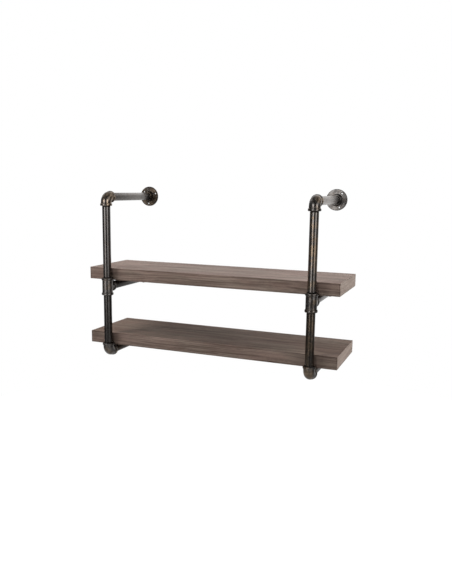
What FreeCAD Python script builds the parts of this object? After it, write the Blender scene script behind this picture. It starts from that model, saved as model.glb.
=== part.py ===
import FreeCAD, Part
import math
import os

# A wall-mounted pipe shelving unit: two wood planks on two bent frames of pipe and
# malleable fittings. Millimetres. X runs along the planks, +Y points into the wall and
# +Z is up. The origin is on the wall's surface, midway between the two wall arms' axes.

# ---- planks ------------------------------------------------------------------------
PLANK_LENGTH = 860.0
PLANK_DEPTH = 238.5
PLANK_THICKNESS = 40.0
PLANK_ARRIS = 0.9  # the small round taken off every edge
PLANK_FRONT_GAP = 0.35  # from a plank's front face to the bands on the posts
PLANK_SEAT_GAP = 0.05  # from a plank's underside to the bands that carry it

# ---- where things stand ------------------------------------------------------------
END_OVERHANG = 80.25  # from a plank's end to the nearer post's axis
POST_STANDOFF = 296.0  # from the wall to a post's axis
TOP_DROP = 237.0  # from the wall arms' axis down to the upper plank's top
SHELF_PITCH = 222.0  # from the upper plank's top down to the lower plank's top

# ---- pipe, 3/4 inch schedule 40 ----------------------------------------------------
PIPE_OD = 26.7
PIPE_WALL = 2.87
PIPE_END_CHAMFER = 0.8

# ---- screwed joints, whose threads are left out ------------------------------------
THREAD_ENGAGEMENT = 10.0
THREAD_CLEARANCE = 0.05  # radial, between a pipe and its socket
PIPE_END_GAP = 0.5  # from a pipe's end to the shoulder it is screwed towards
MOUTH_CHAMFER = 1.0

# ---- malleable fittings ------------------------------------------------------------
FITTING_WALL = 3.9
BAND_RISE = 2.2  # how far a rolled band stands off the fitting's body
BAND_WIDTH = 8.0
BEND_THROAT = 1.2  # radius left at the inside of an elbow's bend
TEE_BRANCH_STEP = 0.5  # how much slimmer the branch is than the run
TEE_CROTCH_ROUND = 2.4

# ---- pipe caps ---------------------------------------------------------------------
CAP_CROWN = 4.0  # thickness of the closed end at its rim
CAP_DOME = 2.2  # how far the closed end bulges past its rim
CAP_CORNER = 4.5
CAP_INSET = 1.0  # from a cap's closed end to the plank's back face

# ---- wall flanges ------------------------------------------------------------------
FLANGE_OD = 70.5
FLANGE_THICKNESS = 6.0
FLANGE_EDGE_ROUND = 2.4
FLANGE_BACK_ARRIS = 0.5
HUB_WALL = 4.6
HUB_HEIGHT = 18.0  # above the disc
HUB_LIP_ROUND = 2.0
HUB_FOOT_ROUND = 3.2
FLANGE_PIPE_SETBACK = 2.0  # from the wall to the pipe's end
SCREW_HOLE_COUNT = 3
SCREW_HOLE_OD = 5.5
COUNTERSINK_OD = 8.6
LEFT_CLOCKING = 23.0  # angle from +X to the first screw hole, anticlockwise from the front
RIGHT_CLOCKING = 51.0

# ---- two-hole straps and their wood screws -----------------------------------------
STRAP_GAUGE = 1.6
STRAP_WIDTH = 16.0
STRAP_CLEARANCE = 0.1  # radial, between a strap and its pipe
STRAP_BEND = 1.5  # inside radius where a leg turns out into an ear
EAR_LENGTH = 16.0
STRAP_SETBACK = 3.0  # from a strap's edge to the cap's mouth
WOOD_SCREW_OD = 4.2
WOOD_SCREW_LENGTH = 18.0
WOOD_SCREW_TIP = 4.0
WOOD_SCREW_CLEARANCE = 0.3  # radial, in the strap's hole
PILOT_CLEARANCE = 0.05
PILOT_SPARE_DEPTH = 1.0
SCREW_HEAD_OD = 8.0
SCREW_HEAD_HEIGHT = 2.6
SCREW_HEAD_RIM = 0.8  # height of the head's straight rim, under its dome

# ---- worked out from the above -----------------------------------------------------
PIPE_R = PIPE_OD / 2
BORE_R = PIPE_R - PIPE_WALL
SOCKET_R = PIPE_R + THREAD_CLEARANCE
SOCKET_DEPTH = THREAD_ENGAGEMENT + PIPE_END_GAP
BODY_R = SOCKET_R + FITTING_WALL
BAND_R = BODY_R + BAND_RISE
BEND_R = BODY_R + BEND_THROAT
REACH = BEND_R + SOCKET_DEPTH  # from a fitting's centre to each of its mouths
PIPE_START = REACH - THREAD_ENGAGEMENT  # from a fitting's centre to a pipe's end
CAP_LENGTH = SOCKET_DEPTH + CAP_CROWN + CAP_DOME
HUB_R = SOCKET_R + HUB_WALL
BOLT_CIRCLE_R = (HUB_R + FLANGE_OD / 2) / 2
SEAT_DROP = BAND_R + PLANK_SEAT_GAP  # from a plank's underside to the arm's axis

PLANK_FRONT = -POST_STANDOFF + BAND_R + PLANK_FRONT_GAP
PLANK_BACK = PLANK_FRONT + PLANK_DEPTH
UPPER_TOP = -TOP_DROP
LOWER_TOP = UPPER_TOP - SHELF_PITCH
TEE_Z = UPPER_TOP - PLANK_THICKNESS - SEAT_DROP
BOTTOM_Z = LOWER_TOP - PLANK_THICKNESS - SEAT_DROP
CAP_END = PLANK_BACK - CAP_INSET
CAP_MOUTH = CAP_END - CAP_LENGTH
STRAP_Y = CAP_MOUTH - STRAP_SETBACK - STRAP_WIDTH / 2
STRAP_LEG_R = PIPE_R + STRAP_CLEARANCE + STRAP_GAUGE
EAR_END = STRAP_LEG_R + STRAP_BEND + EAR_LENGTH
EAR_HOLE = EAR_END - STRAP_WIDTH / 2
POST_X = PLANK_LENGTH / 2 - END_OVERHANG
SIDES = {"left": -POST_X, "right": POST_X}
CLOCKING = {"left": LEFT_CLOCKING, "right": RIGHT_CLOCKING}

ORIGIN = FreeCAD.Vector(0, 0, 0)
X = FreeCAD.Vector(1, 0, 0)
Y = FreeCAD.Vector(0, 1, 0)
Z = FreeCAD.Vector(0, 0, 1)


# ---- drawing helpers ---------------------------------------------------------------
def at(radius, along):
    """A point of a profile that is turned about Z."""
    return FreeCAD.Vector(radius, 0, along)


def outline(start, *steps):
    """A closed wire from start. A step is the next corner, or (through, end) for an arc."""
    edges = []
    here = start
    for step in steps:
        if isinstance(step, tuple):
            through, end = step
            edges.append(Part.Arc(here, through, end).toShape())
        else:
            end = step
            edges.append(Part.makeLine(here, end))
        here = end
    if here.distanceToPoint(start) > 1e-6:
        edges.append(Part.makeLine(here, start))
    return Part.Wire(edges)


def corner(centre, radius, first, last):
    """The (through, end) of an arc about centre, between two angles in degrees."""
    middle = math.radians((first + last) / 2)
    stop = math.radians(last)
    through = centre + FreeCAD.Vector(radius * math.cos(middle), 0, radius * math.sin(middle))
    end = centre + FreeCAD.Vector(radius * math.cos(stop), 0, radius * math.sin(stop))
    return through, end


def turned(wire):
    """The solid that a profile in the XZ plane makes when it is turned about Z."""
    return Part.Face(wire).revolve(ORIGIN, Z, 360)


def aimed(shape, direction, start=ORIGIN):
    """A copy of a shape drawn along Z, laid along direction from start."""
    copy = shape.copy()
    turn = FreeCAD.Rotation(Z, direction)
    copy.Placement = FreeCAD.Placement(start, turn)
    return copy


def moved(shape, x, y, z):
    """A copy of a shape, moved."""
    copy = shape.copy()
    copy.translate(FreeCAD.Vector(x, y, z))
    return copy


# ---- pipe and fittings -------------------------------------------------------------
def pipe(length):
    """A pipe along +Z from the origin, with its ends chamfered as they come off the die."""
    c = PIPE_END_CHAMFER
    return turned(outline(
        at(BORE_R, 0),
        at(PIPE_R - c, 0),
        at(PIPE_R, c),
        at(PIPE_R, length - c),
        at(PIPE_R - c, length),
        at(BORE_R, length)))


def pipe_between(start, end):
    """A pipe from one point to another."""
    run = end - start
    return aimed(pipe(run.Length), run, start)


def leg(radius, length):
    """The outside of a fitting's leg along +Z, with its rolled band at the mouth."""
    band = radius + BAND_RISE
    foot = length - BAND_WIDTH
    return turned(outline(
        at(0, 0),
        at(radius, 0),
        at(radius, foot),
        corner(at(radius, foot + BAND_RISE), BAND_RISE, -90, 0),
        at(band, length - BAND_RISE),
        corner(at(radius, length - BAND_RISE), BAND_RISE, 0, 90),
        at(0, length)))


def socket():
    """What is cut for a pipe, along +Z from a shoulder at the origin to the mouth."""
    return turned(outline(
        at(0, 0),
        at(SOCKET_R, 0),
        at(SOCKET_R, SOCKET_DEPTH - MOUTH_CHAMFER),
        at(SOCKET_R + MOUTH_CHAMFER, SOCKET_DEPTH),
        at(0, SOCKET_DEPTH)))


def elbow(other):
    """An elbow with its centre at the origin, one leg along +Y and one along other (+Z or -Z)."""
    sweep = -90 if other.z > 0 else 90
    hub = (Y + other) * BEND_R
    shoulders = [(Y, Y * BEND_R), (other, other * BEND_R)]

    def bend(radius):
        circle = Part.makeCircle(radius, Y * BEND_R, Y)
        return Part.Face(Part.Wire(circle)).revolve(hub, X, sweep)

    outside = bend(BODY_R)
    inside = bend(BORE_R)
    for way, shoulder in shoulders:
        outside = outside.fuse(aimed(leg(BODY_R, SOCKET_DEPTH), way, shoulder))
        inside = inside.fuse(aimed(socket(), way, shoulder))
    return outside.removeSplitter().cut(inside)


def tee():
    """A tee with its centre at the origin, its run along Z and its branch along +Y."""
    up = leg(BODY_R, REACH)
    down = aimed(up, -Z)
    run = up.fuse(down).removeSplitter()
    outside = run.fuse(aimed(leg(BODY_R - TEE_BRANCH_STEP, REACH), Y))
    outside = outside.makeFillet(TEE_CROTCH_ROUND, crotch(outside))
    shoulder = REACH - SOCKET_DEPTH
    inside = Part.makeCylinder(BORE_R, 2 * shoulder, Z * -shoulder, Z)
    inside = inside.fuse(Part.makeCylinder(BORE_R, shoulder, ORIGIN, Y))
    for way in (Z, -Z, Y):
        inside = inside.fuse(aimed(socket(), way, way * shoulder))
    return outside.cut(inside)


def crotch(outside):
    """The edges where a tee's branch meets its run: they bend in all three directions."""
    found = []
    for edge in outside.Edges:
        box = edge.BoundBox
        if min(box.XLength, box.YLength, box.ZLength) > BODY_R / 10:
            found.append(edge)
    return found


def cap():
    """A pipe cap with its mouth at the origin and its closed end along +Z."""
    rim = SOCKET_DEPTH + CAP_CROWN
    flat = BODY_R - CAP_CORNER
    return turned(outline(
        at(0, SOCKET_DEPTH),
        at(SOCKET_R, SOCKET_DEPTH),
        at(SOCKET_R, MOUTH_CHAMFER),
        at(SOCKET_R + MOUTH_CHAMFER, 0),
        at(BODY_R, 0),
        corner(at(BODY_R, BAND_RISE), BAND_RISE, -90, 0),
        at(BAND_R, BAND_WIDTH - BAND_RISE),
        corner(at(BODY_R, BAND_WIDTH - BAND_RISE), BAND_RISE, 0, 90),
        at(BODY_R, rim - CAP_CORNER),
        corner(at(flat, rim - CAP_CORNER), CAP_CORNER, 0, 90),
        at(0, rim + CAP_DOME)))


def wall_flange(clocking):
    """A floor flange with its back on the plane Y = 0 and its hub along -Y."""
    edge = FLANGE_OD / 2
    face = FLANGE_THICKNESS
    top = face + HUB_HEIGHT
    body = turned(outline(
        at(SOCKET_R, 0),
        at(edge - FLANGE_BACK_ARRIS, 0),
        at(edge, FLANGE_BACK_ARRIS),
        at(edge, face - FLANGE_EDGE_ROUND),
        corner(at(edge - FLANGE_EDGE_ROUND, face - FLANGE_EDGE_ROUND), FLANGE_EDGE_ROUND, 0, 90),
        at(HUB_R + HUB_FOOT_ROUND, face),
        corner(at(HUB_R + HUB_FOOT_ROUND, face + HUB_FOOT_ROUND), HUB_FOOT_ROUND, 270, 180),
        at(HUB_R, top - HUB_LIP_ROUND),
        corner(at(HUB_R - HUB_LIP_ROUND, top - HUB_LIP_ROUND), HUB_LIP_ROUND, 0, 90),
        at(SOCKET_R + MOUTH_CHAMFER, top),
        at(SOCKET_R, top - MOUTH_CHAMFER)))
    body = body.cut(screw_holes())
    # stand the flange on the wall, hub to the front, then clock it about the pipe
    body = aimed(body, -Y)
    body.rotate(ORIGIN, -Y, clocking)
    return body


def screw_holes():
    """The countersunk holes of a flange that is drawn along +Z, the first of them on +X."""
    hole_r = SCREW_HOLE_OD / 2
    sink_r = COUNTERSINK_OD / 2
    sink = sink_r - hole_r
    drill = turned(outline(
        at(0, 0),
        at(hole_r, 0),
        at(hole_r, FLANGE_THICKNESS - sink),
        at(sink_r, FLANGE_THICKNESS),
        at(0, FLANGE_THICKNESS)))
    drill.translate(X * BOLT_CIRCLE_R)
    holes = []
    for number in range(SCREW_HOLE_COUNT):
        hole = drill.copy()
        hole.rotate(ORIGIN, Z, number * 360 / SCREW_HOLE_COUNT)
        holes.append(hole)
    return Part.makeCompound(holes)


# ---- what holds the planks down ----------------------------------------------------
def strap():
    """A two-hole strap under a pipe along Y whose axis is at the origin, ears up."""
    inside = PIPE_R + STRAP_CLEARANCE
    ear_top = SEAT_DROP
    ear_bottom = ear_top - STRAP_GAUGE
    knee = at(STRAP_LEG_R + STRAP_BEND, ear_bottom - STRAP_BEND)
    mirror_knee = at(-knee.x, knee.z)
    outer_bend = STRAP_BEND + STRAP_GAUGE
    section = Part.Face(outline(
        at(EAR_END, ear_bottom),
        at(knee.x, ear_bottom),
        corner(knee, STRAP_BEND, 90, 180),
        at(STRAP_LEG_R, 0),
        (at(0, -STRAP_LEG_R), at(-STRAP_LEG_R, 0)),
        at(-STRAP_LEG_R, knee.z),
        corner(mirror_knee, STRAP_BEND, 0, 90),
        at(-EAR_END, ear_bottom),
        at(-EAR_END, ear_top),
        at(-knee.x, ear_top),
        corner(mirror_knee, outer_bend, 90, 0),
        at(-inside, 0),
        (at(0, -inside), at(inside, 0)),
        at(inside, knee.z),
        corner(knee, outer_bend, 180, 90),
        at(EAR_END, ear_top)))
    half = STRAP_WIDTH / 2
    band = section.extrude(Y * STRAP_WIDTH)
    band.translate(Y * -half)
    rounded = Part.makeBox(2 * EAR_HOLE, STRAP_WIDTH, 4 * BAND_R)
    rounded.translate(FreeCAD.Vector(-EAR_HOLE, -half, -2 * BAND_R))
    for side in (-1, 1):
        end = Part.makeCylinder(half, 4 * BAND_R, FreeCAD.Vector(side * EAR_HOLE, 0, -2 * BAND_R))
        rounded = rounded.fuse(end)
    band = band.common(rounded)
    hole_r = WOOD_SCREW_OD / 2 + WOOD_SCREW_CLEARANCE
    for side in (-1, 1):
        foot = FreeCAD.Vector(side * EAR_HOLE, 0, ear_bottom - STRAP_GAUGE)
        band = band.cut(Part.makeCylinder(hole_r, 3 * STRAP_GAUGE, foot))
    return band


def wood_screw():
    """A pan-head screw pointing up, with the underside of its head at the origin."""
    shank_r = WOOD_SCREW_OD / 2
    head_r = SCREW_HEAD_OD / 2
    dome = SCREW_HEAD_HEIGHT - SCREW_HEAD_RIM
    dome_r = (head_r**2 + dome**2) / (2 * dome)
    centre = at(0, dome_r - SCREW_HEAD_HEIGHT)
    spread = math.degrees(math.asin(head_r / dome_r))
    return turned(outline(
        at(0, WOOD_SCREW_LENGTH),
        at(0, -SCREW_HEAD_HEIGHT),
        corner(centre, dome_r, -90, spread - 90),
        at(head_r, 0),
        at(shank_r, 0),
        at(shank_r, WOOD_SCREW_LENGTH - WOOD_SCREW_TIP)))


def screw_places():
    """The X of each wood screw under a plank."""
    return [x + side * EAR_HOLE for x in SIDES.values() for side in (-1, 1)]


def plank(top):
    """A plank with its top at a height, eased edges, and pilot holes for the straps' screws."""
    base = top - PLANK_THICKNESS
    corner_point = FreeCAD.Vector(-PLANK_LENGTH / 2, PLANK_FRONT, base)
    board = Part.makeBox(PLANK_LENGTH, PLANK_DEPTH, PLANK_THICKNESS, corner_point)
    board = board.makeFillet(PLANK_ARRIS, board.Edges)
    pilot_r = WOOD_SCREW_OD / 2 + PILOT_CLEARANCE
    pilot_depth = WOOD_SCREW_LENGTH - STRAP_GAUGE + PILOT_SPARE_DEPTH
    for x in screw_places():
        mouth = FreeCAD.Vector(x, STRAP_Y, base)
        board = board.cut(Part.makeCylinder(pilot_r, pilot_depth, mouth))
    return board


def strap_screws(top):
    """The four wood screws under one plank, as separate solids."""
    head_seat = top - PLANK_THICKNESS - STRAP_GAUGE
    screws = [moved(wood_screw(), x, STRAP_Y, head_seat) for x in screw_places()]
    return Part.makeCompound(screws)


# ---- the assembly ------------------------------------------------------------------
def frame_parts(side):
    """The pieces of one frame, by name."""
    x = SIDES[side]
    post = FreeCAD.Vector(x, -POST_STANDOFF, 0)
    centre_z = {"top": 0.0, "upper": TEE_Z, "lower": BOTTOM_Z}
    centre = {name: post + Z * z for name, z in centre_z.items()}
    wall_end = FreeCAD.Vector(x, -FLANGE_PIPE_SETBACK, 0)

    pieces = {
        "wall_flange": moved(wall_flange(CLOCKING[side]), x, 0, 0),
        "wall_arm": pipe_between(centre["top"] + Y * PIPE_START, wall_end),
        "top_elbow": moved(elbow(-Z), *centre["top"]),
        "upper_post": pipe_between(centre["upper"] + Z * PIPE_START, centre["top"] - Z * PIPE_START),
        "tee": moved(tee(), *centre["upper"]),
        "lower_post": pipe_between(centre["lower"] + Z * PIPE_START, centre["upper"] - Z * PIPE_START),
        "bottom_elbow": moved(elbow(Z), *centre["lower"]),
    }
    for level in ("upper", "lower"):
        z = centre_z[level]
        arm_end = FreeCAD.Vector(x, CAP_MOUTH + THREAD_ENGAGEMENT, z)
        pieces[level + "_arm"] = pipe_between(centre[level] + Y * PIPE_START, arm_end)
        pieces[level + "_cap"] = aimed(cap(), Y, FreeCAD.Vector(x, CAP_MOUTH, z))
        pieces[level + "_strap"] = moved(strap(), x, STRAP_Y, z)
    return pieces


def all_parts():
    """Every piece of the unit, by node name."""
    pieces = {
        "upper_plank": plank(UPPER_TOP),
        "lower_plank": plank(LOWER_TOP),
        "upper_strap_screws": strap_screws(UPPER_TOP),
        "lower_strap_screws": strap_screws(LOWER_TOP),
    }
    for side in SIDES:
        for name, shape in frame_parts(side).items():
            pieces[side + "_" + name] = shape
    return pieces


os.makedirs("parts", exist_ok=True)
for node, shape in all_parts().items():
    if not shape.isValid():
        print("invalid solid:", node)
    shape.exportStep("parts/" + node + ".step")
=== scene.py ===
"""Looks of the pipe shelving unit: camera, studio, stained wood and aged metal.

Lengths are in metres and angles in degrees, in the row's frame. Noise scales are features
per metre.
"""

from collections import namedtuple
import math

import bmesh
import bpy
from mathutils import Matrix, Vector


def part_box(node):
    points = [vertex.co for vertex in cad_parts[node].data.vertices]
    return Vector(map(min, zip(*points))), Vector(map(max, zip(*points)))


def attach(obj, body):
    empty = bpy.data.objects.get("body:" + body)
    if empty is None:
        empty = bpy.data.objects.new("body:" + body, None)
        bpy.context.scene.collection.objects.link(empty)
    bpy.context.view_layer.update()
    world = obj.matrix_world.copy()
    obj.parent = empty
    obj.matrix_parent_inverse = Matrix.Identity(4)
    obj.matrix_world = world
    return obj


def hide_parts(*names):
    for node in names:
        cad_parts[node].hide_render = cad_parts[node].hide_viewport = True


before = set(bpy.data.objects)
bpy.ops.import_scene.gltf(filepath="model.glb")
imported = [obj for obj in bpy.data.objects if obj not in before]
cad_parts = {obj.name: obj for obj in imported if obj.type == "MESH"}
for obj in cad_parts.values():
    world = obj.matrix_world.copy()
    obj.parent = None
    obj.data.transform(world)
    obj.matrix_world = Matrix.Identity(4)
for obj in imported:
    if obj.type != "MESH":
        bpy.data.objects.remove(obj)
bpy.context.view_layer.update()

# the Mix node's sockets for colours
MIX_FIRST, MIX_SECOND, MIX_RESULT = 6, 7, 2
NOISE_MIDDLE = 0.5


def rgb(red, green, blue):
    return (red, green, blue, 1.0)


def even(size):
    """The same size along all three axes."""
    return (size, size, size)


WHITE = rgb(1.0, 1.0, 1.0)

# a noise: its scale along each axis, its detail and its roughness
Noise = namedtuple("Noise", "scales detail roughness", defaults=(3.0, 0.5))


class Shader:
    """A node tree, with short calls for the nodes that this scene needs."""

    def __init__(self, tree):
        self.tree = tree
        self.tree.nodes.clear()

    def node(self, kind, **settings):
        made = self.tree.nodes.new("ShaderNode" + kind)
        for name, value in settings.items():
            setattr(made, name, value)
        return made

    def feed(self, socket, value):
        if isinstance(value, bpy.types.NodeSocket):
            self.tree.links.new(value, socket)
        else:
            socket.default_value = value

    def math(self, operation, first, second=0.0, clamp=False):
        made = self.node("Math", operation=operation, use_clamp=clamp)
        self.feed(made.inputs[0], first)
        self.feed(made.inputs[1], second)
        return made.outputs[0]

    def plus(self, first, second):
        return self.math("ADD", first, second)

    def minus(self, first, second):
        return self.math("SUBTRACT", first, second)

    def times(self, first, second):
        return self.math("MULTIPLY", first, second)

    def most(self, first, second):
        return self.math("MAXIMUM", first, second)

    def least(self, first, second):
        return self.math("MINIMUM", first, second)

    def size(self, value):
        return self.math("ABSOLUTE", value)

    def vector(self, operation, first, second):
        made = self.node("VectorMath", operation=operation)
        self.feed(made.inputs[0], first)
        self.feed(made.inputs[1], second)
        return made.outputs["Value" if operation == "DOT_PRODUCT" else "Vector"]

    def scale(self, vector, factor):
        made = self.node("VectorMath", operation="SCALE")
        self.feed(made.inputs[0], vector)
        self.feed(made.inputs["Scale"], factor)
        return made.outputs["Vector"]

    def place(self):
        return self.node("TexCoord").outputs["Object"]

    def split(self, vector):
        made = self.node("SeparateXYZ")
        self.feed(made.inputs[0], vector)
        return made.outputs

    def join(self, x, y, z):
        made = self.node("CombineXYZ")
        for socket, value in zip(made.inputs, (x, y, z)):
            self.feed(socket, value)
        return made.outputs[0]

    def noise(self, place, kind, output="Fac"):
        made = self.node("TexNoise")
        self.feed(made.inputs["Vector"], self.vector("MULTIPLY", place, kind.scales))
        self.feed(made.inputs["Scale"], 1.0)
        self.feed(made.inputs["Detail"], kind.detail)
        self.feed(made.inputs["Roughness"], kind.roughness)
        return made.outputs[output]

    def step(self, value, low, high, start=0.0, end=1.0):
        """A soft step from start to end as value goes from low to high."""
        made = self.node("MapRange", interpolation_type="SMOOTHSTEP")
        for name, given in (("Value", value), ("From Min", low), ("From Max", high),
                            ("To Min", start), ("To Max", end)):
            self.feed(made.inputs[name], given)
        return made.outputs[0]

    def mix(self, amount, first, second, blend="MIX"):
        made = self.node("Mix", data_type="RGBA", blend_type=blend)
        self.feed(made.inputs["Factor"], amount)
        self.feed(made.inputs[MIX_FIRST], first)
        self.feed(made.inputs[MIX_SECOND], second)
        return made.outputs[MIX_RESULT]

    def tint(self, color, tint):
        return self.mix(1.0, color, tint, blend="MULTIPLY")

    def bump(self, height, distance):
        made = self.node("Bump")
        self.feed(made.inputs["Height"], height)
        self.feed(made.inputs["Distance"], distance)
        return made.outputs[0]

    def surface(self, color, roughness, normal, metallic=0.0, specular=0.5):
        body = self.node("BsdfPrincipled")
        self.feed(body.inputs["Base Color"], color)
        self.feed(body.inputs["Roughness"], roughness)
        self.feed(body.inputs["Normal"], normal)
        body.inputs["Metallic"].default_value = metallic
        body.inputs["Specular IOR Level"].default_value = specular
        self.tree.links.new(body.outputs[0], self.node("OutputMaterial").inputs["Surface"])


def new_material(name):
    material = bpy.data.materials.new(name)
    material.use_nodes = True
    return material, Shader(material.node_tree)


# ---- camera ----
CAMERA_PLACE = Vector((0.79901, -2.09463, 0.03219))
CAMERA_YAW = 21.8372
CAMERA_PITCH = 9.2892
CAMERA_ROLL = 0.7619
# in millimetres, as Blender's camera has them
CAMERA_LENS = 39.007
CAMERA_FILM = 36.0
CAMERA_CLIP_START = 0.05


def set_camera():
    data = bpy.data.cameras.new("camera")
    data.sensor_fit = "VERTICAL"
    data.sensor_height = CAMERA_FILM
    data.lens = CAMERA_LENS
    data.clip_start = CAMERA_CLIP_START
    camera = bpy.data.objects.new("camera", data)
    bpy.context.scene.collection.objects.link(camera)
    turn = Matrix.Rotation(math.radians(CAMERA_YAW), 4, "Z")
    tilt = Matrix.Rotation(math.radians(90.0 - CAMERA_PITCH), 4, "X")
    roll = Matrix.Rotation(math.radians(CAMERA_ROLL), 4, "Z")
    camera.matrix_world = Matrix.Translation(CAMERA_PLACE) @ turn @ tilt @ roll
    bpy.context.scene.camera = camera


# ---- backdrop and panels, which metal and gloss mirror ----
# radiance behind the unit, elsewhere, and of the part added to both high up behind it
BACKDROP_LEVEL = 1.0
ROOM_LEVEL = 0.16
BACKDROP_TOP_LEVEL = 0.6
# where they come in and are full: the Y part of a ray's direction, and its elevation
BACKDROP_EDGES = (0.74, 0.88)
BACKDROP_TOP_EDGES = (0.2, 0.6)
BACKDROP_TOP_RISE = (16.0, 32.0)
# what matt surfaces get from the background
AMBIENT_LEVEL = 0.02
# azimuth, elevation, half width, half height, softness of the upright edges, and radiance;
# azimuth 0 is straight in front of the unit, and 90 is off its right end
PANELS = {
    "front": (-16.0, 9.5, 9.5, 18.5, 9.0, 4.6),
    "front_high": (-20.0, 17.0, 15.0, 11.0, 9.0, 4.2),
    "side": (59.0, 7.5, 12.0, 20.5, 9.0, 1.95),
    "side_high": (61.0, 17.0, 13.0, 11.0, 9.0, 3.4),
    "key": (-46.0, 38.0, 13.0, 15.0, 10.0, 0.3),
    "top": (0.0, 90.0, 400.0, 18.0, 10.0, 0.4),
    "left": (-105.0, 35.0, 14.0, 14.0, 10.0, 1.2),
    "right": (92.0, 26.0, 15.0, 13.0, 10.0, 1.0),
    "back_right": (122.0, 35.0, 12.0, 12.0, 10.0, 0.5),
}
# softness of the panels' upper and lower edges
PANEL_FALL = 4.5


def shown_rays(shader):
    """1 for the rays that show the background: straight, and mirrored or through glass."""
    path = shader.node("LightPath").outputs
    mirrored = shader.most(path["Is Glossy Ray"], path["Is Transmission Ray"])
    return path["Is Camera Ray"], mirrored


def set_world():
    """White behind the unit and dim in front of it, as in a photographer's studio."""
    world = bpy.data.worlds.new("studio")
    world.use_nodes = True
    bpy.context.scene.world = world
    world.cycles.sampling_method = "NONE"
    shader = Shader(world.node_tree)
    towards = shader.split(shader.node("TexCoord").outputs["Generated"])
    front = shader.times(towards["Y"], -1.0)
    azimuth = shader.math("DEGREES", shader.math("ARCTAN2", towards["X"], front))
    elevation = shader.math("DEGREES", shader.math("ARCSINE", towards["Z"]))
    high = shader.step(elevation, *BACKDROP_TOP_RISE, 0.0, BACKDROP_TOP_LEVEL)
    high = shader.times(high, shader.step(towards["Y"], *BACKDROP_TOP_EDGES))
    level = shader.step(towards["Y"], *BACKDROP_EDGES, ROOM_LEVEL, BACKDROP_LEVEL)
    level = shader.plus(level, high)
    for turned, raised, half_width, half_height, softness, radiance in PANELS.values():
        across = shader.size(shader.minus(azimuth, turned))
        up = shader.size(shader.minus(elevation, raised))
        lit = shader.step(across, half_width + softness, half_width - softness)
        shown = shader.step(up, half_height + PANEL_FALL, half_height - PANEL_FALL)
        level = shader.plus(level, shader.times(lit, shader.times(shown, radiance)))
    camera_ray, mirrored = shown_rays(shader)
    seen = shader.most(camera_ray, shader.times(mirrored, level))
    diffuse_ray = shader.node("LightPath").outputs["Is Diffuse Ray"]
    ambient = shader.times(diffuse_ray, AMBIENT_LEVEL)
    background = shader.node("Background")
    background.inputs["Color"].default_value = WHITE
    shader.feed(background.inputs["Strength"], shader.most(seen, ambient))
    out = shader.node("OutputWorld")
    shader.tree.links.new(background.outputs[0], out.inputs["Surface"])


# ---- floor ----
FLOOR_LEVEL = -1.30
FLOOR_RADIUS = 2.2
FLOOR_SIDES = 96
FLOOR_COLOR = rgb(0.80, 0.80, 0.80)
# its glow on top of its lit colour: to the camera, and in metal and gloss
FLOOR_LIFT = 0.90
FLOOR_MIRRORED = 0.12


def set_floor():
    """A plain pale disc, which glows enough to look white."""
    rim = []
    for count in range(FLOOR_SIDES):
        turn = math.tau * count / FLOOR_SIDES
        rim.append((FLOOR_RADIUS * math.cos(turn), FLOOR_RADIUS * math.sin(turn), FLOOR_LEVEL))
    mesh = bpy.data.meshes.new("floor")
    mesh.from_pydata(rim, [], [tuple(range(FLOOR_SIDES))])
    floor = bpy.data.objects.new("floor", mesh)
    bpy.context.scene.collection.objects.link(floor)
    material, shader = new_material("floor")
    matt = shader.node("BsdfDiffuse")
    matt.inputs["Color"].default_value = FLOOR_COLOR
    glow = shader.node("Emission")
    glow.inputs["Color"].default_value = WHITE
    camera_ray, mirrored = shown_rays(shader)
    shown = shader.most(shader.times(camera_ray, FLOOR_LIFT),
                        shader.times(mirrored, FLOOR_MIRRORED))
    shader.feed(glow.inputs["Strength"], shown)
    both = shader.node("AddShader")
    shader.tree.links.new(matt.outputs[0], both.inputs[0])
    shader.tree.links.new(glow.outputs[0], both.inputs[1])
    out = shader.node("OutputMaterial")
    shader.tree.links.new(both.outputs[0], out.inputs["Surface"])
    mesh.materials.append(material)


# ---- lamps, which light the matt surfaces; metal and gloss mirror PANELS instead ----
STUDIO_CENTRE = Vector((0.0, -0.25, -0.25))
# azimuth and elevation as in PANELS, distance, (width, height), radiance
SOFTBOXES = {
    "key_softbox": (-44.0, 35.0, 2.4, (0.7, 1.0), 14.6),
    "top_softbox": (0.0, 90.0, 1.45, (0.8, 0.5), 8.2),
    "left_softbox": (-105.0, 35.0, 1.5, (0.7, 0.7), 7.5),
    "right_softbox": (94.0, 24.0, 1.5, (0.8, 0.8), 4.6),
    "back_right_softbox": (120.0, 35.0, 1.5, (0.7, 0.7), 2.7),
    "front_strip": (4.0, -4.0, 2.4, (0.4, 1.3), 7.0),
    "side_strip": (58.0, -4.0, 2.4, (0.4, 1.3), 4.6),
}


def add_softbox(name, azimuth, elevation, distance, size, radiance):
    """A rectangular lamp of an even radiance that faces the studio's centre."""
    turn = math.radians(azimuth)
    lift = math.radians(elevation)
    level = Vector((math.sin(turn), -math.cos(turn), 0.0)) * math.cos(lift)
    away = level + Vector((0.0, 0.0, math.sin(lift)))
    width, height = size
    data = bpy.data.lights.new(name, "AREA")
    data.shape = "RECTANGLE"
    data.size = width
    data.size_y = height
    data.energy = radiance * math.pi * width * height
    lamp = bpy.data.objects.new(name, data)
    bpy.context.scene.collection.objects.link(lamp)
    lamp.location = STUDIO_CENTRE + away * distance
    lamp.rotation_euler = (-away).to_track_quat("-Z", "Y").to_euler()
    lamp.visible_camera = False
    lamp.visible_glossy = False


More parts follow.
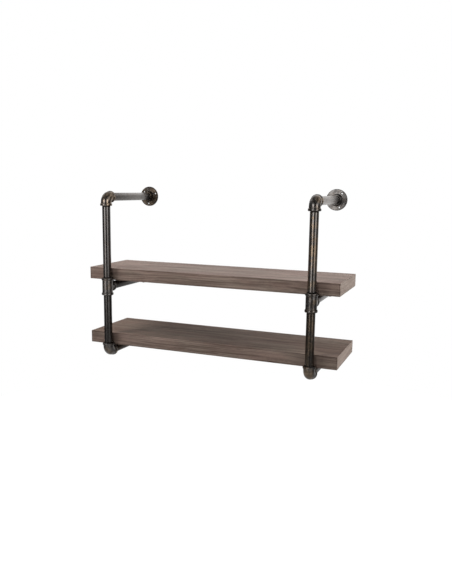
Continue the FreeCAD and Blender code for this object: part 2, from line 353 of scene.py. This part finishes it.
# ---- stained wood ----
WOOD_LIGHT = rgb(0.300, 0.226, 0.191)
WOOD_DARK = rgb(0.085, 0.058, 0.047)
WOOD_PORE = rgb(0.045, 0.032, 0.026)
WOOD_BANDED = rgb(0.475, 0.386, 0.331)
WOOD_BANDED_DARK = rgb(0.235, 0.177, 0.148)
ROSE_TINT = rgb(1.03, 0.99, 0.98)
OLIVE_TINT = rgb(0.97, 1.01, 0.99)
# the figure's noises, along, across and through the grain, and the levels of each between
# which it goes from light to dark
SWAY_NOISE = Noise((2.1, 9.0, 9.0))
SWAY_REACH = (0.0, 0.034, 0.034)
LINE_NOISE = Noise((3.4, 330.0, 330.0), 5.0, 0.6)
LINE_LEVELS = (0.34, 0.64)
BAND_NOISE = Noise((1.5, 62.0, 62.0), 4.0)
BAND_LEVELS = (0.34, 0.66)
CLOUD_NOISE = Noise((3.0, 15.0, 15.0))
CLOUD_LEVELS = (0.32, 0.68)
FIBRE_NOISE = Noise((14.0, 1500.0, 1500.0), 3.0, 0.6)
PORE_NOISE = Noise((90.0, 2000.0, 2000.0), 1.0)
PORE_LEVELS = (0.66, 0.72)
HUE_NOISE = Noise((6.0, 24.0, 24.0))
HUE_LEVELS = (0.36, 0.64)
HUE_OFFSET = (7.7, 3.3, 1.1)
# what each adds to the tone
LINE_SHARE = 0.54
BAND_SHARE = 0.24
CLOUD_SHARE = 0.22
FIBRE_SHARE = 0.5
# how much of a pore's colour shows, and of the tone on the banded ends
PORE_COVER = 0.75
BANDED_TONE = 0.75
# part of the normal along an axis, from which a face looks that way
FACING = (0.80, 0.95)
# painted light: extra brightness of the long faces, strongest in the plank's middle, and the
# distances from the middle where it has gone and where it is full
FRONT_PAINTED_LIGHT = 0.17
FRONT_PAINTED_LIGHT_REACH = (0.40, 0.05)
# the dark line's middle, the distances from it where the line has gone and where it is full,
# and how much it darkens
EDGE_LINE_INSET = 0.0026
EDGE_LINE_REACH = (0.0015, 0.0005)
EDGE_LINE_DEPTH = 0.34
# relief: of the lines and fibres next to a pore's depth of 1, and in metres
LINE_RISE = -0.25
FIBRE_RISE = 0.5
WOOD_RELIEF = 0.00016
# roughness of light wood, and what dark wood and pores add
WOOD_ROUGHNESS = 0.54
DARK_ROUGHNESS = 0.14
PORE_ROUGHNESS = 0.2
WOOD_SPECULAR = 0.12


def wood(name, node, brightness, end_brightness, top_sheen_and_shade, seed):
    """Stained veneer: streaks, bands, clouds and pores, with banded ends and a dark line just
    inside the edges; painted light brightens the long faces' middle, sets each plank's and its
    ends' brightness, and tints the top with a painted sheen on the upper plank and painted
    shade on the lower.
    """
    low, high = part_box(node)
    material, shader = new_material(name)
    local = shader.vector("SUBTRACT", shader.place(), tuple((low + high) / 2))
    turned = [shader.size(part)
              for part in shader.split(shader.node("NewGeometry").outputs["True Normal"])]
    banded, fronted, topped = [shader.step(part, *FACING) for part in turned]
    drawn = shader.vector("ADD", grain_frame(shader, local, banded), seed)
    sway = shader.noise(drawn, SWAY_NOISE, output="Color")
    sway = shader.vector("SUBTRACT", sway, even(NOISE_MIDDLE))
    bent = shader.vector("ADD", drawn, shader.vector("MULTIPLY", sway, SWAY_REACH))
    line = shader.step(shader.noise(bent, LINE_NOISE), *LINE_LEVELS)
    fibre = shader.noise(bent, FIBRE_NOISE)
    pore = shader.step(shader.noise(bent, PORE_NOISE), *PORE_LEVELS)
    tone = wood_tone(shader, drawn, bent, line, fibre)
    color = wood_color(shader, drawn, tone, pore)
    pale = shader.mix(shader.times(tone, BANDED_TONE), WOOD_BANDED, WOOD_BANDED_DARK)
    color = shader.mix(banded, color, pale)
    # painted sheen and shade on the top: cooler on the upper plank as a painted sheen, darker
    # and warmer on the lower one as painted shade under the upper plank
    color = shader.mix(topped, color, shader.tint(color, top_sheen_and_shade))
    edge_line = edge_line_mask(shader, local, (high - low) / 2)
    edge_line = shader.times(edge_line, shader.minus(1.0, turned[2]))
    kept = shader.minus(1.0, shader.times(edge_line, EDGE_LINE_DEPTH))
    # painted light: each plank and its ends get a brightness of their own, the lower plank set
    # darker as painted shade
    level = shader.plus(brightness, shader.times(banded, end_brightness - brightness))
    # painted light: the long faces get brighter towards the plank's middle
    along = shader.size(shader.split(local)["X"])
    lift = shader.times(shader.times(fronted, FRONT_PAINTED_LIGHT),
                        shader.step(along, *FRONT_PAINTED_LIGHT_REACH))
    level = shader.times(level, shader.plus(lift, 1.0))
    color = shader.scale(color, shader.times(kept, level))
    height = shader.plus(shader.times(line, LINE_RISE), shader.times(fibre, FIBRE_RISE))
    relief = shader.bump(shader.minus(height, pore), WOOD_RELIEF)
    roughness = shader.plus(WOOD_ROUGHNESS, shader.times(tone, DARK_ROUGHNESS))
    roughness = shader.plus(roughness, shader.times(pore, PORE_ROUGHNESS))
    shader.surface(color, roughness, relief, specular=WOOD_SPECULAR)
    return material


def grain_frame(shader, local, banded):
    """The plank's own place, with X along the grain: front to back on the banded ends."""
    along, across, rise = shader.split(local)
    gap = shader.times(shader.minus(across, along), banded)
    return shader.join(shader.plus(along, gap), shader.minus(across, gap), rise)


def wood_tone(shader, drawn, bent, line, fibre):
    """How dark the stain is, from 0 to 1."""
    band = shader.step(shader.noise(bent, BAND_NOISE), *BAND_LEVELS)
    cloud = shader.step(shader.noise(drawn, CLOUD_NOISE), *CLOUD_LEVELS)
    tone = shader.times(line, LINE_SHARE)
    tone = shader.plus(tone, shader.times(band, BAND_SHARE))
    tone = shader.plus(tone, shader.times(cloud, CLOUD_SHARE))
    fleck = shader.times(shader.minus(fibre, NOISE_MIDDLE), FIBRE_SHARE)
    return shader.math("ADD", tone, fleck, clamp=True)


def wood_color(shader, drawn, tone, pore):
    """The stain's colour, a little rose here and olive there, with its pores."""
    color = shader.mix(tone, WOOD_LIGHT, WOOD_DARK)
    shifted = shader.vector("ADD", drawn, HUE_OFFSET)
    hue = shader.step(shader.noise(shifted, HUE_NOISE), *HUE_LEVELS)
    color = shader.tint(color, shader.mix(hue, ROSE_TINT, OLIVE_TINT))
    return shader.mix(shader.times(pore, PORE_COVER), color, WOOD_PORE)


def edge_line_mask(shader, local, half):
    """1 on a thin line just inside the plank's edges."""
    gone = [shader.minus(shader.size(part), reach)
            for part, reach in zip(shader.split(local), half)]
    nearer = shader.least(gone[0], gone[1])
    farther = shader.most(gone[0], gone[1])
    inset = shader.most(nearer, shader.least(farther, gone[2]))
    offset = shader.size(shader.plus(inset, EDGE_LINE_INSET))
    return shader.step(offset, *EDGE_LINE_REACH)


# ---- aged metal ----
GUNMETAL = rgb(0.115, 0.108, 0.103)
UMBER = rgb(0.088, 0.063, 0.047)
BRONZE = rgb(0.190, 0.142, 0.100)
# near black: the painted shade and grime in metal corners, and the oil on bare threads
GRIME_AND_SHADE = rgb(0.022, 0.018, 0.015)
RUBBED = rgb(0.270, 0.220, 0.170)
THREAD_DARK = rgb(0.050, 0.043, 0.038)
# bronze clouds: the noise's levels on a cold skin, and how far they fall on a warm one
WARM_NOISE = Noise(even(40.0), 5.0, 0.6)
WARM_LEVELS = (0.66, 0.86)
WARM_FALL = (0.32, 0.30)
BRONZE_COVER = 0.85
# umber patches: their cover on a cold skin, and what a warm one adds
PATCH_NOISE = Noise(even(120.0), 4.0)
PATCH_OFFSET = (3.1, 1.7, 5.3)
PATCH_LEVELS = (0.44, 0.68)
UMBER_COVER = 0.30
UMBER_COVER_WARM = 0.45
# the drawn grain's shade: at its darkest, and its range
DRAWN_SHADE = 0.78
DRAWN_RANGE = 0.44
SPECK_NOISE = Noise(even(1500.0), 2.0)
SPECK_RANGE = 0.30
# stains, which darken a cast skin by up to this share
STAIN_NOISE = Noise(even(85.0), 4.0, 0.6)
STAIN_OFFSET = (9.1, 4.4, 2.7)
STAIN_LEVELS = (0.40, 0.60)
STAIN_DEPTH = 0.75
# rubbed edges: the bevel that finds them, the cosines between which they show, and the
# least of them where the clouds' noise is low
EDGE_RADIUS = 0.0012
EDGE_SAMPLES = 4
EDGE_LEVELS = (0.995, 0.93)
RUB_LEVELS = (0.35, 0.60)
RUB_LEAST = 0.25
RUB_COVER = 0.6
# painted shade with some grime in the corners: how far off a wall counts, and the openness
# between which the darkening shows
CORNER_SHADE_REACH = 0.006
CORNER_SHADE_SAMPLES = 6
CORNER_SHADE_LEVELS = (0.85, 0.35)
CORNER_SHADE_COVER = 0.9
# what patches, grime and rubbing do to the roughness
PATCH_ROUGHNESS = 0.16
CORNER_ROUGHNESS = 0.2
RUB_GLOSS = 0.06
# relief: of the drawn grain next to a cast skin's pits, and in metres
PIT_NOISE = Noise(even(700.0), 4.0, 0.65)
DRAWN_RISE = 0.35
METAL_RELIEF = 0.00012
# the oil on bare threads
OIL_NOISE = Noise(even(420.0))
OIL_LEVELS = (0.40, 0.62)
OIL_ROUGHNESS = 0.42
OIL_RELIEF = 0.00010


def metal(name, look, grain, seed):
    """Antique gunmetal: bronze and umber clouds, rubbed edges, and painted shade with some
    grime in the corners.
    """
    tone, warmth, dullness, cast = look
    material, shader = new_material(name)
    place = shader.vector("ADD", shader.place(), seed)
    cloud = shader.noise(place, WARM_NOISE)
    patch = shader.noise(shader.vector("ADD", place, PATCH_OFFSET), PATCH_NOISE)
    drawn = shader.noise(place, grain)
    color = metal_color(shader, cloud, patch, warmth)
    shade = metal_shade(shader, place, drawn, cast)
    # the look's tone carries painted reflection and painted shade, set piece by piece
    color = shader.scale(color, shader.times(shade, tone))
    rub = shader.step(cloud, *RUB_LEVELS, RUB_LEAST, 1.0)
    rub = shader.times(edge_mask(shader), rub)
    color = shader.mix(shader.times(rub, RUB_COVER), color, RUBBED)
    # painted shade: the colour goes towards near black where ambient occlusion finds a corner,
    # with some grime
    hollow = shader.node("AmbientOcclusion", samples=CORNER_SHADE_SAMPLES)
    hollow.inputs["Distance"].default_value = CORNER_SHADE_REACH
    deep = shader.step(hollow.outputs["AO"], *CORNER_SHADE_LEVELS)
    color = shader.mix(shader.times(deep, CORNER_SHADE_COVER), color, GRIME_AND_SHADE)
    uneven = shader.times(shader.minus(patch, NOISE_MIDDLE), PATCH_ROUGHNESS)
    rough = shader.plus(dullness, uneven)
    rough = shader.plus(rough, shader.times(deep, CORNER_ROUGHNESS))
    rough = shader.minus(rough, shader.times(rub, RUB_GLOSS))
    pits = shader.times(shader.noise(place, PIT_NOISE), cast)
    relief = shader.bump(shader.plus(pits, shader.times(drawn, DRAWN_RISE)), METAL_RELIEF)
    shader.surface(color, rough, relief, metallic=1.0)
    return material


def metal_color(shader, cloud, patch, warmth):
    """Gunmetal with umber patches and bronze clouds, more of both on a warm skin."""
    low, high = [level - fall * warmth for level, fall in zip(WARM_LEVELS, WARM_FALL)]
    warm = shader.step(cloud, low, high)
    brown = shader.step(patch, *PATCH_LEVELS)
    cover = UMBER_COVER + UMBER_COVER_WARM * warmth
    color = shader.mix(shader.times(brown, cover), GUNMETAL, UMBER)
    return shader.mix(shader.times(warm, BRONZE_COVER), color, BRONZE)


def metal_shade(shader, place, drawn, cast):
    """Light and dark from the drawn grain, fine specks and, on a cast skin, stains."""
    shade = shader.plus(DRAWN_SHADE, shader.times(drawn, DRAWN_RANGE))
    speck = shader.minus(shader.noise(place, SPECK_NOISE), NOISE_MIDDLE)
    shade = shader.plus(shade, shader.times(speck, SPECK_RANGE))
    stain = shader.noise(shader.vector("ADD", place, STAIN_OFFSET), STAIN_NOISE)
    stain = shader.step(stain, *STAIN_LEVELS, 1.0, 1.0 - STAIN_DEPTH * cast)
    return shader.times(shade, stain)


def edge_mask(shader):
    """1 on the outer and inner edges, where a bevel would turn the surface."""
    bevel = shader.node("Bevel", samples=EDGE_SAMPLES)
    bevel.inputs["Radius"].default_value = EDGE_RADIUS
    flat = shader.node("NewGeometry").outputs["Normal"]
    turn = shader.vector("DOT_PRODUCT", bevel.outputs[0], flat)
    return shader.step(turn, *EDGE_LEVELS)


def dark_thread():
    """The bare, oiled turns of thread that show beside a fitting's mouth."""
    material, shader = new_material("dark_thread")
    oil = shader.noise(shader.place(), OIL_NOISE)
    color = shader.mix(shader.step(oil, *OIL_LEVELS), THREAD_DARK, GRIME_AND_SHADE)
    shader.surface(color, OIL_ROUGHNESS, shader.bump(oil, OIL_RELIEF), metallic=1.0)
    return material


# ---- pipes with their last turns of thread ----
PIPE_WALL = 0.00287
THREAD_PITCH = 0.001814
THREAD_CUT = 0.0009
# how far the thread goes outside a fitting's mouth and inside it, and the share of the
# outside part over which it runs out
THREAD_SHOWN = 0.0034
THREAD_HIDDEN = 0.0018
THREAD_RUNOUT = 0.6
STEPS_A_TURN = 8
PIPE_SIDES = 96
SMOOTH_ANGLE = math.radians(28.0)
# an axis's place in a vector
Y_AXIS = 1
Z_AXIS = 2
# a pipe's material slots
SKIN_SLOT = 0
THREAD_SLOT = 1


def thread_depth(gone, turn):
    """How deep the helix is cut at a distance from the mouth, running out on the bare pipe."""
    if not -THREAD_HIDDEN <= gone <= THREAD_SHOWN:
        return 0.0
    fading = min(1.0, (THREAD_SHOWN - gone) / (THREAD_RUNOUT * THREAD_SHOWN))
    # 0 on the thread's crest and 1 at its root, with straight flanks between
    wave = abs((gone / THREAD_PITCH + turn) % 1.0 - 0.5) * 2.0
    return THREAD_CUT * fading * wave


def pipe_stations(start, end, mouths):
    """Places along a pipe that need a ring of vertices, close together where it is threaded."""
    stations = {start, end}
    length = THREAD_SHOWN + THREAD_HIDDEN
    count = math.ceil(length / THREAD_PITCH * STEPS_A_TURN)
    for mouth, outward in zip(mouths, (1.0, -1.0)):
        for step in range(count + 1):
            gone = -THREAD_HIDDEN + length * step / count
            stations.add(mouth + outward * gone)
    return sorted(stations)


def pipe_point(centre, axis, place, reach, turn):
    """A point on a pipe, a share of a turn round it."""
    across = reach * math.cos(math.tau * turn)
    beside = reach * math.sin(math.tau * turn)
    spot = Vector((across, 0.0, beside) if axis == Y_AXIS else (across, beside, 0.0))
    spot[axis] = place - centre[axis]
    return centre + spot


def threaded_pipe(node, axis, mouths, materials):
    """A pipe with its bore, threaded where it enters its fittings, in a CAD pipe's place."""
    low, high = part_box(node)
    centre = (low + high) / 2
    radius = (high.x - low.x) / 2
    bore = radius - PIPE_WALL
    outer = pipe_stations(low[axis], high[axis], mouths)
    rings = [(place, None) for place in outer] + [(high[axis], bore), (low[axis], bore)]
    points = []
    for place, fixed in rings:
        for side in range(PIPE_SIDES):
            turn = side / PIPE_SIDES
            cut = max(thread_depth(place - mouths[0], turn),
                      thread_depth(mouths[1] - place, turn))
            points.append(pipe_point(centre, axis, place, fixed or radius - cut, turn))
    faces = []
    for ring in range(len(rings)):
        after = (ring + 1) % len(rings)
        for side in range(PIPE_SIDES):
            beside = (side + 1) % PIPE_SIDES
            faces.append([ring * PIPE_SIDES + side, ring * PIPE_SIDES + beside,
                          after * PIPE_SIDES + beside, after * PIPE_SIDES + side])
    mesh = bpy.data.meshes.new(node + "_threaded")
    mesh.from_pydata(points, [], faces)
    for material in materials:
        mesh.materials.append(material)
    for index, face in enumerate(mesh.polygons):
        ring = index // PIPE_SIDES
        bare = mouths[0] + THREAD_SHOWN <= rings[ring][0] < mouths[1] - THREAD_SHOWN
        inner = ring >= len(outer) - 1
        face.material_index = SKIN_SLOT if bare or inner else THREAD_SLOT
    face_outwards(mesh)
    mesh.shade_smooth()
    mesh.set_sharp_from_angle(angle=SMOOTH_ANGLE)
    piece = bpy.data.objects.new(node + "_threaded", mesh)
    bpy.context.scene.collection.objects.link(piece)
    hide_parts(node)
    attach(piece, "root")


def face_outwards(mesh):
    edited = bmesh.new()
    edited.from_mesh(mesh)
    bmesh.ops.recalc_face_normals(edited, faces=edited.faces)
    edited.to_mesh(mesh)
    edited.free()


# ---- which look goes where ----
# node: brightness, that of its ends, the tint of its top, and the seed of its figure;
# the brightnesses and top tints are painted light: the lower plank darker as painted shade,
# each plank's ends set apart from its long faces, a painted sheen on the upper top and painted
# shade on the lower top
WOOD_LOOKS = {
    "upper_plank": (1.04, 0.86, rgb(0.99, 1.02, 1.06), (1.3, 0.4, 0.7)),
    "lower_plank": (0.92, 1.10, rgb(0.96, 0.92, 0.87), (5.9, 2.2, 3.1)),
}
UPRIGHT_GRAIN = Noise((900.0, 900.0, 9.0))
LEVEL_GRAIN = Noise((900.0, 9.0, 900.0))
EVEN_GRAIN = Noise(even(260.0))
# node: tone, warmth, dullness, and how much of a cast skin it has; the tones, and in part the
# warmths, are painted light set piece by piece: painted reflection raises them where a piece
# mirrors the bright backdrop, as on the wall arms, and painted shade lowers them where it sits
# under the planks, as on the lower posts and lower arm
METAL_LOOKS = {
    "left_wall_arm": (1.85, 0.10, 0.32, 0.15), "right_wall_arm": (2.70, 0.35, 0.32, 0.15),
    "left_upper_post": (1.06, 0.10, 0.20, 0.15), "right_upper_post": (1.27, 0.85, 0.20, 0.15),
    "left_lower_post": (0.58, 0.15, 0.25, 0.15), "right_lower_post": (0.55, 0.95, 0.25, 0.15),
    "left_top_elbow": (1.40, 0.90, 0.25, 0.6), "right_top_elbow": (1.22, 0.70, 0.25, 0.6),
    "left_wall_flange": (0.50, 1.00, 0.46, 0.6), "right_wall_flange": (1.20, 0.10, 0.36, 0.6),
    "left_tee": (1.31, 0.48, 0.31, 0.6), "right_tee": (1.10, 0.58, 0.31, 0.6),
    "right_bottom_elbow": (1.08, 0.88, 0.33, 0.6), "left_lower_arm": (0.40, 1.00, 0.30, 0.15),
}
PIPE_LOOK = (0.75, 0.25, 0.30, 0.15)
FITTING_LOOK = (1.12, 0.50, 0.33, 0.6)
# moves the noise from one piece to the next
SEED_STEP = (1.37, 0.73, 2.11)
# pipe: the fittings at its lower or front end, and at its upper or back end
PIPE_ENDS = {
    "wall_arm": ("top_elbow", "wall_flange"),
    "upper_post": ("tee", "top_elbow"),
    "lower_post": ("bottom_elbow", "tee"),
    "upper_arm": ("tee", "upper_cap"),
    "lower_arm": ("bottom_elbow", "lower_cap"),
}


def dress(node, material):
    """Gives a node its material in every slot."""
    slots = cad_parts[node].material_slots
    for slot in slots:
        slot.material = material
    if not slots:
        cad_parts[node].data.materials.append(material)


def dress_pipe(node, material, thread):
    side, pipe = node.split("_", 1)
    front, back = PIPE_ENDS[pipe]
    axis = Z_AXIS if pipe.endswith("_post") else Y_AXIS
    mouths = (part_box(f"{side}_{front}")[1][axis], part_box(f"{side}_{back}")[0][axis])
    threaded_pipe(node, axis, mouths, (material, thread))


def dress_all():
    for node, look in WOOD_LOOKS.items():
        dress(node, wood(node + "_wood", node, *look))
    thread = dark_thread()
    for count, node in enumerate(sorted(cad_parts)):
        if node in WOOD_LOOKS:
            continue
        if node.endswith("_post"):
            look, grain = METAL_LOOKS.get(node, PIPE_LOOK), UPRIGHT_GRAIN
        elif node.endswith("_arm"):
            look, grain = METAL_LOOKS.get(node, PIPE_LOOK), LEVEL_GRAIN
        else:
            look, grain = METAL_LOOKS.get(node, FITTING_LOOK), EVEN_GRAIN
        seed = tuple(count * step for step in SEED_STEP)
        material = metal(node + "_metal", look, grain, seed)
        if node.endswith(("_post", "_arm")):
            dress_pipe(node, material, thread)
        else:
            dress(node, material)


bpy.context.scene.view_settings.view_transform = "Standard"
set_camera()
set_world()
set_floor()
for name, settings in SOFTBOXES.items():
    add_softbox(name, *settings)
dress_all()
